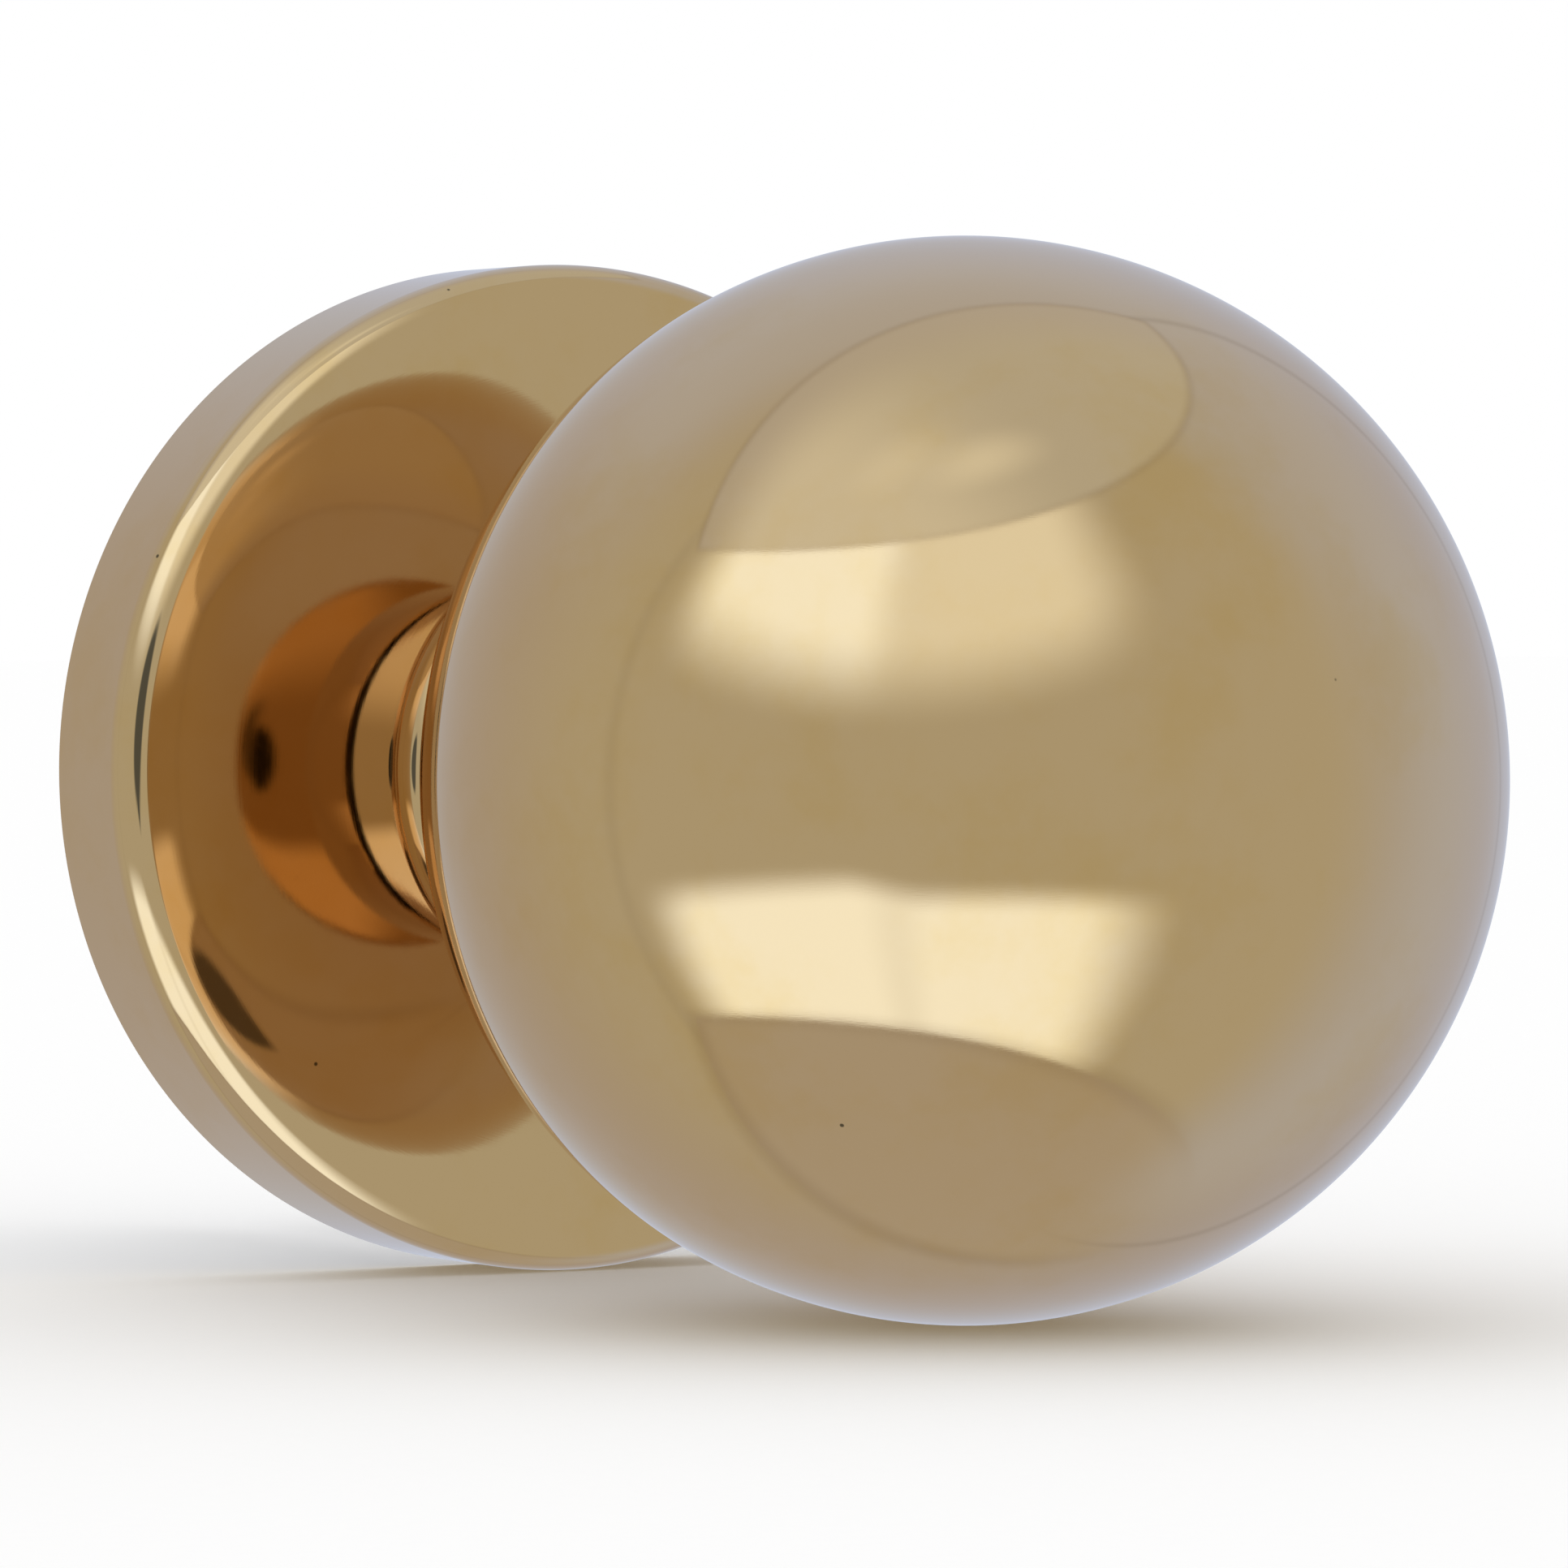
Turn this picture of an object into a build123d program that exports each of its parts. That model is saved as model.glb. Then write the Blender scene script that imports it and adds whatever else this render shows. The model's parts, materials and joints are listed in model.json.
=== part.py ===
from build123d import *
import math
import os

os.makedirs("parts", exist_ok=True)

# Ball mortice knob on a round concealed-fix sprung rose. Millimetres.
# Everything is drawn in a turning frame: z = distance out from the door face, y = up, x = right as you
# face the door. place() lays that frame down so the knob axis runs along -Y and the door face is y = 0.

# --- driving dimensions -------------------------------------------------------------------------------
BALL_R = 30.0              # polished ball
BALL_Z = 52.9              # ball centre, out from the door face
SHELL_T = 1.6              # wall of the two pressed halves of the ball
NECK_R = 11.2              # plain turned neck under the ball
NECK_Z = 19.4              # lower face of the neck
EDGE = 0.2                 # small broken edge on turned parts
SEAM_HALF = 3.0            # brazing ring inside the equator: half height and thickness
SEAM_T = 1.2

ROSE_R = 30.0              # rose cover
ROSE_SIDE_Z = 6.9          # straight side of the cover
RIM_R = 1.92               # rounding of the cover's rim
RIM_DEG = 9.5              # slope of the face where the rim rounding takes over
CROWN_DEG = 1.2            # slope of the crowned face where the soft shoulder starts
SHOULDER_IN_R = 21.0
COVER_IN_R = 28.6          # inside of the cover's side wall
COVER_IN_Z = 7.1           # inside of the cover's face
COVER_IN_BEVEL = 1.2

COLLAR_FOOT_R = 13.2       # waisted fixed collar, one piece with the cover: where it leaves the face
COLLAR_HOLLOW_R = 3.0      # hollow curve at its foot
COLLAR_FLARE_DEG = 8.0     # above the waist it opens out again by this much
COLLAR_TOP_Z = 18.7

RUN = 0.05                 # radial running clearance of every bearing
SHANK_R = 7.6              # knob shank in the collar bush
JOURNAL_R = 6.7            # lower journal in the base bush, and the half width of the drive flats
SHANK_END_Z = 0.1
GROOVE_R = 6.25            # circlip groove
CLIP_Z0, CLIP_T = 0.5, 1.0
CLIP_ROOM = 0.02
SQUARE = 8.0               # spindle square
SPIGOT_R = 9.2             # threaded spigot inside the ball
SPIGOT_END_Z = 33.4
SPIGOT_LEAD = 0.5
SPINDLE_END_Z = 32.9
SPINDLE_TAIL_Z = -38.0
SPINDLE_LEAD = 1.0         # chamfer that leads the spindle's tail into the latch
SET_R = 2.0                # M4 set screw that holds the spindle in the neck
SET_Z = 22.2
SET_SINK = 0.5             # how far its end lies below the neck's surface
SET_HEX = 2.0
SADDLE_R = 13.0            # saddle washer and nut that clamp the ball on the spigot
SADDLE_TOP_Z = 28.9
NUT_FLATS = 24.0
NUT_T = 4.0

COLLAR_BUSH_R = 8.9
BUSH_FLANGE_R = 9.9
BUSH_FLANGE_T = 0.8
BASE_BUSH_R = 8.2
BASE_FLANGE_R = 9.4
BASE_FLANGE_Z = 1.95
THRUST_R = 10.65
THRUST_T = 0.66

BASE_R = 28.2              # die-cast inner rose
BASE_T = 2.3
RECESS_R = 11.2            # clearance for the circlip, open to the door
FLOOR_Z = 3.3              # top of the floor the spring sits on
POCKET_R = 13.8
POCKET_WALL_R = 14.9
POCKET_TOP_Z = 6.9
RIM_IN_R = 26.6
RIM_TOP_Z = 5.8
RING_GROOVE_R = 27.3
RING_SECTION_R = 0.64
RING_Z = 4.6
RING_ROOM = 0.1
RIB_HALF = 0.8
RIB_TOP_Z = 4.4
RIB_ANGLES = (0, 45, 135, 180, 225, 315)
PAD_HALF = 3.0             # thick pad in the base behind the grub screw
PAD_IN_R = 23.2
GRUB_R = 1.5               # M3 grub screw that holds the cover on the base
GRUB_Z = 2.2
GRUB_HEX = 1.5
GRUB_IN_R = 24.4
GRUB_OUT_R = 29.7
HEX_DEPTH = 2.0
ROOT = 0.5                 # how far added ribs and lugs sink into the body they grow from

BOLT_PITCH = 38.0          # fixing bolt centres, one above the other
BOLT_R = 2.0               # M4 thread behind the door face
BOLT_SHANK_R = 1.75        # plain rolled shank through the rose
BOLT_SHANK_Z = -0.6
BOLT_HOLE_R = 2.2
BOLT_HEAD_R = 3.5
BOLT_HEAD_T = 2.6
BOLT_HEAD_CHAMFER = 0.35
BOLT_SLOT_HALF = 0.5
BOLT_SLOT_DEPTH = 1.2
BOLT_TAIL_Z = -36.0
BOLT_LEAD = 0.5
BOSS_R = 4.8
BOSS_TOP_Z = 3.0
WASHER_R = 4.0
WASHER_T = 0.5

CLIP_R = 8.6               # circlip: the ring is thicker on the side away from its eyes
CLIP_SHIFT = 0.45
CLIP_GAP = 2.4
CLIP_GAP_Y = 3.0
EYE_R = 1.35
EYE_HOLE_R = 0.6
EYE_X = 2.73
EYE_Y = 8.0
EYE_HOLE_Y = 8.2
DISC_OUT_R = 8.0           # disc spring
DISC_T = 0.2
DISC_LIFT = 0.22
DISC_ROOM = 0.1

WIRE_R = 0.45              # return spring
COIL_R = 10.3
COIL_PITCH = 0.95
LEG_X = 2.75
LEG_TIP_Y = 13.2
COIL_Z = 3.85
COIL_TURNS_DEG = 720.0
COIL_PARTS = 4
ELBOW_R = 0.5

CAM_HUB_R = 9.4
CAM_Z0, CAM_Z1 = 3.36, 6.95
CAM_PLATE_Z = 6.15
LUG_HALF = 2.25
LUG_IN_R, LUG_OUT_R = 11.15, 12.3
POST_IN_R = 12.5
POST_ROOM = 0.15
STOP_LUG_R = 13.3
PIN_R = 0.9
PIN_CENTRE_R = 12.4
TURN_DEG = 60.0            # knob travel each way
STOP_SLACK_DEG = 0.5
FAR = 60.0                 # longer than anything it has to cut through


def place(shape, name):
    """Lay a part from the turning frame into the row frame and write it."""
    part = Rot(90, 0, 0) * shape
    part.label = name
    export_step(part, f"parts/{name}.step")


def turned(*edges):
    """Solid of revolution about z from a closed profile drawn as (radius, z)."""
    return revolve(make_face(Plane.XZ * Wire(edges)), Axis.Z)


def outline(points):
    """Straight-sided closed profile."""
    closed = list(points) + [points[0]]
    return [Line(a, b) for a, b in zip(closed[:-1], closed[1:])]


def ring(inner, outer, z0, z1):
    return Pos(0, 0, z0) * extrude(Circle(outer) - Circle(inner), z1 - z0)


def rod(radius, z0, z1, x=0.0, y=0.0):
    return Pos(x, y, z0) * extrude(Circle(radius), z1 - z0)


def block(x0, x1, y0, y1, z0, z1):
    size = (x1 - x0, y1 - y0, z1 - z0)
    return Pos((x0 + x1) / 2, (y0 + y1) / 2, (z0 + z1) / 2) * Box(*size)


def radial_rod(radius, r0, r1, z):
    """Round bar pointing straight down (-y) between two radii."""
    return Pos(0, -r0, z) * Rot(90, 0, 0) * extrude(Circle(radius), r1 - r0)


def radial_hex(across_flats, r0, r1, z):
    section = RegularPolygon(across_flats / 2, 6, major_radius=False)
    return Pos(0, -r0, z) * Rot(90, 0, 0) * extrude(section, r1 - r0)


def on_sphere(centre_z, radius, r):
    """Height of the near side of a sphere at radius r from the axis."""
    return centre_z - math.sqrt(radius * radius - r * r)


# --- the polished ball: two pressed brass halves brazed at the equator --------------------------------
inner_ball_r = BALL_R - SHELL_T
half = math.sqrt(0.5)

front = turned(
    Line((0, BALL_Z + inner_ball_r), (0, BALL_Z + BALL_R)),
    ThreePointArc((0, BALL_Z + BALL_R), (BALL_R * half, BALL_Z + BALL_R * half), (BALL_R, BALL_Z)),
    Line((BALL_R, BALL_Z), (inner_ball_r, BALL_Z)),
    ThreePointArc(
        (inner_ball_r, BALL_Z),
        (inner_ball_r * half, BALL_Z + inner_ball_r * half),
        (0, BALL_Z + inner_ball_r),
    ),
)
place(front, "ball_shell_front")

mouth_out = on_sphere(BALL_Z, BALL_R, SPIGOT_R)
mouth_in = on_sphere(BALL_Z, inner_ball_r, SPIGOT_R)
rear = turned(
    Line((inner_ball_r, BALL_Z), (BALL_R, BALL_Z)),
    ThreePointArc((BALL_R, BALL_Z), (BALL_R * half, BALL_Z - BALL_R * half), (SPIGOT_R, mouth_out)),
    Line((SPIGOT_R, mouth_out), (SPIGOT_R, mouth_in)),
    ThreePointArc(
        (SPIGOT_R, mouth_in),
        (inner_ball_r * half, BALL_Z - inner_ball_r * half),
        (inner_ball_r, BALL_Z),
    ),
)
place(rear, "ball_shell_rear")

seam_r = math.sqrt(inner_ball_r**2 - SEAM_HALF**2)
seam = turned(
    Line((seam_r - SEAM_T, BALL_Z - SEAM_HALF), (seam_r, BALL_Z - SEAM_HALF)),
    ThreePointArc(
        (seam_r, BALL_Z - SEAM_HALF), (inner_ball_r, BALL_Z), (seam_r, BALL_Z + SEAM_HALF)
    ),
    Line((seam_r, BALL_Z + SEAM_HALF), (seam_r - SEAM_T, BALL_Z + SEAM_HALF)),
    Line((seam_r - SEAM_T, BALL_Z + SEAM_HALF), (seam_r - SEAM_T, BALL_Z - SEAM_HALF)),
)
place(seam, "seam_ring")

# --- neck and shank, one turned brass piece -----------------------------------------------------------
neck_top = on_sphere(BALL_Z, BALL_R, NECK_R)
seat_mid_r = 0.5 * (NECK_R + SPIGOT_R)
groove_z0 = CLIP_Z0 - CLIP_ROOM
groove_z1 = CLIP_Z0 + CLIP_T + CLIP_ROOM
step_z = FLOOR_Z + CLIP_ROOM

neck = turned(
    Line((0, SHANK_END_Z), (JOURNAL_R - EDGE, SHANK_END_Z)),
    Line((JOURNAL_R - EDGE, SHANK_END_Z), (JOURNAL_R, SHANK_END_Z + EDGE)),
    Line((JOURNAL_R, SHANK_END_Z + EDGE), (JOURNAL_R, groove_z0)),
    Line((JOURNAL_R, groove_z0), (GROOVE_R, groove_z0)),
    Line((GROOVE_R, groove_z0), (GROOVE_R, groove_z1)),
    Line((GROOVE_R, groove_z1), (JOURNAL_R, groove_z1)),
    Line((JOURNAL_R, groove_z1), (JOURNAL_R, step_z)),
    Line((JOURNAL_R, step_z), (SHANK_R, step_z)),
    Line((SHANK_R, step_z), (SHANK_R, NECK_Z)),
    Line((SHANK_R, NECK_Z), (NECK_R, NECK_Z)),
    Line((NECK_R, NECK_Z), (NECK_R, neck_top)),
    ThreePointArc(
        (NECK_R, neck_top), (seat_mid_r, on_sphere(BALL_Z, BALL_R, seat_mid_r)), (SPIGOT_R, mouth_out)
    ),
    Line((SPIGOT_R, mouth_out), (SPIGOT_R, SPIGOT_END_Z - SPIGOT_LEAD)),
    Line((SPIGOT_R, SPIGOT_END_Z - SPIGOT_LEAD), (SPIGOT_R - SPIGOT_LEAD, SPIGOT_END_Z)),
    Line((SPIGOT_R - SPIGOT_LEAD, SPIGOT_END_Z), (0, SPIGOT_END_Z)),
    Line((0, SPIGOT_END_Z), (0, SHANK_END_Z)),
)
for x0, x1 in ((JOURNAL_R, FAR), (-FAR, -JOURNAL_R)):
    neck -= block(x0, x1, -SHANK_R, SHANK_R, FLOOR_Z, CAM_Z1 + RUN)
half_square = SQUARE / 2
neck -= block(-half_square, half_square, -half_square, half_square, -FAR, FAR)
neck -= radial_rod(SET_R, 0.0, FAR, SET_Z)
place(neck, "neck_shank")

set_end_r = NECK_R - SET_SINK
set_screw = radial_rod(SET_R, half_square, set_end_r, SET_Z)
set_screw -= radial_hex(SET_HEX, set_end_r - HEX_DEPTH, FAR, SET_Z)
place(set_screw, "spindle_set_screw")

spindle = block(-half_square, half_square, -half_square, half_square, SPINDLE_TAIL_Z, SPINDLE_END_Z)
spindle = chamfer(spindle.faces().sort_by(Axis.Z)[0].edges(), SPINDLE_LEAD)
place(spindle, "spindle")

# --- clamping of the rear half of the ball on the neck ------------------------------------------------
saddle_mid_r = 0.5 * (SADDLE_R + SPIGOT_R)
saddle_edge = on_sphere(BALL_Z, inner_ball_r, SADDLE_R)
saddle = turned(
    ThreePointArc(
        (SPIGOT_R, mouth_in),
        (saddle_mid_r, on_sphere(BALL_Z, inner_ball_r, saddle_mid_r)),
        (SADDLE_R, saddle_edge),
    ),
    Line((SADDLE_R, saddle_edge), (SADDLE_R, SADDLE_TOP_Z)),
    Line((SADDLE_R, SADDLE_TOP_Z), (SPIGOT_R, SADDLE_TOP_Z)),
    Line((SPIGOT_R, SADDLE_TOP_Z), (SPIGOT_R, mouth_in)),
)
place(saddle, "saddle_washer")

nut = Pos(0, 0, SADDLE_TOP_Z) * extrude(
    RegularPolygon(NUT_FLATS / 2, 6, major_radius=False) - Circle(SPIGOT_R), NUT_T
)
place(nut, "neck_nut")

# --- rose cover with its collar -----------------------------------------------------------------------
def on_arc(centre, radius, slope):
    """Point of a convex arc where the surface slopes down outwards by this much."""
    return (centre[0] + radius * math.sin(slope), centre[1] + radius * math.cos(slope))


crown_slope = math.radians(CROWN_DEG)
rim_slope = math.radians(RIM_DEG)
rim_centre = (ROSE_R - RIM_R, ROSE_SIDE_Z)
rim_in = on_arc(rim_centre, RIM_R, rim_slope)
rim_mid = on_arc(rim_centre, RIM_R, 0.5 * (math.pi / 2 + rim_slope))

# The shoulder's slope grows with the cube of the way out from the crown: a curve of the fourth degree,
# whose control points lie evenly spaced on the crown's tangent, all but the last.
shoulder_span = rim_in[0] - SHOULDER_IN_R
tangent_drop = shoulder_span * math.tan(crown_slope)
extra_drop = shoulder_span * (math.tan(rim_slope) - math.tan(crown_slope)) / 4
shoulder_in = (SHOULDER_IN_R, rim_in[1] + tangent_drop + extra_drop)
shoulder = [
    (SHOULDER_IN_R + shoulder_span * share, shoulder_in[1] - tangent_drop * share)
    for share in (0.0, 0.25, 0.5, 0.75)
] + [rim_in]
crown_radius = SHOULDER_IN_R / math.sin(crown_slope)
crown_centre = on_arc(shoulder_in, -crown_radius, crown_slope)


def crown_z(r):
    return crown_centre[1] + math.sqrt(crown_radius**2 - r * r)


foot_z = crown_z(COLLAR_FOOT_R)
crown_mid_r = 0.5 * (COLLAR_FOOT_R + SHOULDER_IN_R)
flare = math.radians(COLLAR_FLARE_DEG)


def hollow(angle):
    """Point on the hollow curve, from the face (0) round to the waist and a little past it."""
    return (
        COLLAR_FOOT_R - COLLAR_HOLLOW_R * math.sin(angle),
        foot_z + COLLAR_HOLLOW_R - COLLAR_HOLLOW_R * math.cos(angle),
    )


hollow_end = hollow(math.pi / 2 + flare)
collar_top_r = hollow_end[0] + math.tan(flare) * (COLLAR_TOP_Z - EDGE - hollow_end[1])
cover = turned(
    Line((ROSE_R, 0), (ROSE_R, ROSE_SIDE_Z)),
    ThreePointArc((ROSE_R, ROSE_SIDE_Z), rim_mid, rim_in),
    Bezier(*reversed(shoulder)),
    ThreePointArc(shoulder_in, (crown_mid_r, crown_z(crown_mid_r)), (COLLAR_FOOT_R, foot_z)),
    ThreePointArc((COLLAR_FOOT_R, foot_z), hollow(math.pi / 4), hollow_end),
    Line(hollow_end, (collar_top_r, COLLAR_TOP_Z - EDGE)),
    Line((collar_top_r, COLLAR_TOP_Z - EDGE), (collar_top_r - EDGE, COLLAR_TOP_Z)),
    Line((collar_top_r - EDGE, COLLAR_TOP_Z), (COLLAR_BUSH_R, COLLAR_TOP_Z)),
    Line((COLLAR_BUSH_R, COLLAR_TOP_Z), (COLLAR_BUSH_R, COVER_IN_Z + BUSH_FLANGE_T)),
    Line((COLLAR_BUSH_R, COVER_IN_Z + BUSH_FLANGE_T), (BUSH_FLANGE_R, COVER_IN_Z + BUSH_FLANGE_T)),
    Line((BUSH_FLANGE_R, COVER_IN_Z + BUSH_FLANGE_T), (BUSH_FLANGE_R, COVER_IN_Z)),
    Line((BUSH_FLANGE_R, COVER_IN_Z), (COVER_IN_R - COVER_IN_BEVEL, COVER_IN_Z)),
    Line((COVER_IN_R - COVER_IN_BEVEL, COVER_IN_Z), (COVER_IN_R, COVER_IN_Z - COVER_IN_BEVEL)),
    Line((COVER_IN_R, COVER_IN_Z - COVER_IN_BEVEL), (COVER_IN_R, 0)),
    Line((COVER_IN_R, 0), (ROSE_R, 0)),
)
cover -= radial_rod(GRUB_R, POCKET_WALL_R, FAR, GRUB_Z)
place(cover, "rose_cover")

collar_bush = turned(*outline([
    (SHANK_R + RUN, COVER_IN_Z),
    (BUSH_FLANGE_R, COVER_IN_Z),
    (BUSH_FLANGE_R, COVER_IN_Z + BUSH_FLANGE_T),
    (COLLAR_BUSH_R, COVER_IN_Z + BUSH_FLANGE_T),
    (COLLAR_BUSH_R, COLLAR_TOP_Z),
    (SHANK_R + RUN, COLLAR_TOP_Z),
]))
place(collar_bush, "collar_bush")
place(ring(SHANK_R + RUN, THRUST_R, COLLAR_TOP_Z, COLLAR_TOP_Z + THRUST_T), "thrust_washer")

# --- inner rose: die-cast base with the spring pocket, screwed to the door ------------------------------
ring_half = RING_SECTION_R + RING_ROOM
base = turned(*outline([
    (RECESS_R, 0),
    (BASE_R, 0),
    (BASE_R, RING_Z - ring_half),
    (RING_GROOVE_R, RING_Z - ring_half),
    (RING_GROOVE_R, RING_Z + ring_half),
    (BASE_R, RING_Z + ring_half),
    (BASE_R, RIM_TOP_Z),
    (RIM_IN_R, RIM_TOP_Z),
    (RIM_IN_R, BASE_T),
    (POCKET_WALL_R, BASE_T),
    (POCKET_WALL_R, POCKET_TOP_Z),
    (POCKET_R, POCKET_TOP_Z),
    (POCKET_R, FLOOR_Z),
    (BASE_BUSH_R, FLOOR_Z),
    (BASE_BUSH_R, BASE_T),
    (RECESS_R, BASE_T),
]))
root_z = BASE_T - ROOT
for angle in RIB_ANGLES:
    rib = block(POCKET_WALL_R - ROOT, RIM_IN_R + ROOT, -RIB_HALF, RIB_HALF, root_z, RIB_TOP_Z)
    base += Rot(0, 0, angle) * rib
for side in (-1, 1):
    centre_y = side * BOLT_PITCH / 2
    boss = rod(BOSS_R, root_z, BOSS_TOP_Z, y=centre_y)
    base += boss - rod(POCKET_WALL_R - ROOT, -FAR, FAR)
    base -= rod(BOLT_HOLE_R, -FAR, FAR, y=centre_y)
post_top_z = CAM_PLATE_Z - POST_ROOM
base += block(-LUG_HALF, LUG_HALF, POST_IN_R, POCKET_R + ROOT, FLOOR_Z - ROOT, post_top_z)
base += block(-PAD_HALF, PAD_HALF, -RIM_IN_R - ROOT, -PAD_IN_R, root_z, RIB_TOP_Z)
base -= radial_rod(GRUB_R, GRUB_IN_R - POST_ROOM, FAR, GRUB_Z)

half_lug_deg = math.degrees(math.asin((LUG_HALF + PIN_R) / PIN_CENTRE_R))
stop_deg = TURN_DEG + half_lug_deg + STOP_SLACK_DEG
pin_centres = {}
for side, word in ((-1, "left"), (1, "right")):
    direction = math.radians(-90 + side * stop_deg)
    centre = (PIN_CENTRE_R * math.cos(direction), PIN_CENTRE_R * math.sin(direction))
    pin_centres[word] = centre
    base -= rod(PIN_R, BASE_T, FAR, x=centre[0], y=centre[1])
place(base, "inner_rose")
for word, (x, y) in pin_centres.items():
    place(rod(PIN_R, BASE_T, POCKET_TOP_Z - RUN, x=x, y=y), f"stop_pin_{word}")

base_bush = turned(*outline([
    (JOURNAL_R + RUN, BASE_FLANGE_Z),
    (BASE_FLANGE_R, BASE_FLANGE_Z),
    (BASE_FLANGE_R, BASE_T),
    (BASE_BUSH_R, BASE_T),
    (BASE_BUSH_R, FLOOR_Z),
    (JOURNAL_R + RUN, FLOOR_Z),
]))
place(base_bush, "base_bush")

ring_centre_r = COVER_IN_R - RING_SECTION_R - RING_ROOM / 10
o_ring = turned(Pos(ring_centre_r, RING_Z) * CenterArc((0, 0), RING_SECTION_R, 0, 360))
place(o_ring, "cover_o_ring")

# --- drive cam, return spring -------------------------------------------------------------------------
cam = rod(CAM_HUB_R, CAM_Z0, CAM_Z1)
cam += block(-LUG_HALF, LUG_HALF, CAM_HUB_R - 2 * ROOT, LUG_OUT_R, CAM_PLATE_Z, CAM_Z1)
cam += block(-LUG_HALF, LUG_HALF, LUG_IN_R, LUG_OUT_R, CAM_Z0 + 2 * RUN, CAM_PLATE_Z)
cam += block(-LUG_HALF, LUG_HALF, -STOP_LUG_R, -CAM_HUB_R + 2 * ROOT, CAM_PLATE_Z, CAM_Z1)
cam -= extrude(Circle(SHANK_R) & Rectangle(2 * JOURNAL_R, 2 * SHANK_R), FAR)
place(cam, "drive_cam")

leg_root_y = math.sqrt(COIL_R**2 - LEG_X**2)
start_deg = 180 - math.degrees(math.atan2(leg_root_y, LEG_X))
sweep_deg = COIL_TURNS_DEG - 2 * (start_deg - 90)
coil_rise = COIL_PITCH * sweep_deg / 360
spring = None
for i in range(COIL_PARTS):
    turn = Rot(0, 0, start_deg + sweep_deg * i / COIL_PARTS)
    lift = Pos(0, 0, COIL_Z + coil_rise * i / COIL_PARTS)
    helix = lift * turn * Helix(COIL_PITCH, coil_rise / COIL_PARTS, COIL_R)
    piece = sweep(Plane(origin=helix @ 0, z_dir=helix % 0) * Circle(WIRE_R), path=helix)
    spring = piece if spring is None else spring + piece
for x, z in ((-LEG_X, COIL_Z), (LEG_X, COIL_Z + coil_rise)):
    spring += Pos(x, leg_root_y, z) * Sphere(ELBOW_R)
    spring += Pos(x, leg_root_y, z) * Rot(-90, 0, 0) * extrude(Circle(WIRE_R), LEG_TIP_Y - leg_root_y)
place(spring, "return_spring")

# --- axial retention behind the inner rose -------------------------------------------------------------
clip = Pos(0, -CLIP_SHIFT) * Circle(CLIP_R) - Circle(GROOVE_R)
clip -= Pos(0, CLIP_GAP_Y + CLIP_R / 2) * Rectangle(CLIP_GAP, CLIP_R)
for side in (-1, 1):
    clip += Pos(side * EYE_X, EYE_Y) * Circle(EYE_R)
clip -= Circle(GROOVE_R)
for side in (-1, 1):
    clip -= Pos(side * EYE_X, EYE_HOLE_Y) * Circle(EYE_HOLE_R)
place(Pos(0, 0, CLIP_Z0) * extrude(clip, CLIP_T), "circlip")

clip_top = CLIP_Z0 + CLIP_T
disc_in_r = JOURNAL_R + DISC_ROOM
disc_spring = turned(*outline([
    (DISC_OUT_R, clip_top),
    (DISC_OUT_R, clip_top + DISC_T),
    (disc_in_r, clip_top + DISC_LIFT + DISC_T),
    (disc_in_r, clip_top + DISC_LIFT),
]))
place(disc_spring, "disc_spring")

# --- fixings --------------------------------------------------------------------------------------------
seat_z = BOSS_TOP_Z + WASHER_T
head_z = seat_z + BOLT_HEAD_T
for side, word in ((1, "top"), (-1, "bottom")):
    centre_y = side * BOLT_PITCH / 2
    bolt = rod(BOLT_R, BOLT_TAIL_Z, BOLT_SHANK_Z, y=centre_y)
    bolt = chamfer(bolt.faces().sort_by(Axis.Z)[0].edges(), BOLT_LEAD)
    bolt += rod(BOLT_SHANK_R, BOLT_SHANK_Z, seat_z + ROOT, y=centre_y)
    head = rod(BOLT_HEAD_R, seat_z, head_z, y=centre_y)
    bolt += chamfer(head.faces().sort_by(Axis.Z)[-1].edges(), BOLT_HEAD_CHAMFER)
    slot_y0 = centre_y - BOLT_SLOT_HALF
    slot_y1 = centre_y + BOLT_SLOT_HALF
    bolt -= block(-BOLT_HEAD_R - 1, BOLT_HEAD_R + 1, slot_y0, slot_y1, head_z - BOLT_SLOT_DEPTH, FAR)
    place(bolt, f"fixing_bolt_{word}")
    washer = rod(WASHER_R, BOSS_TOP_Z, seat_z, y=centre_y)
    washer -= rod(BOLT_HOLE_R, -FAR, FAR, y=centre_y)
    place(washer, f"bolt_washer_{word}")

grub = radial_rod(GRUB_R, GRUB_IN_R, GRUB_OUT_R, GRUB_Z)
grub -= radial_hex(GRUB_HEX, ROSE_R - HEX_DEPTH, FAR, GRUB_Z)
place(grub, "cover_grub_screw")
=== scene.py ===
import json
import math

import bpy
from mathutils import Matrix, Vector


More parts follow.
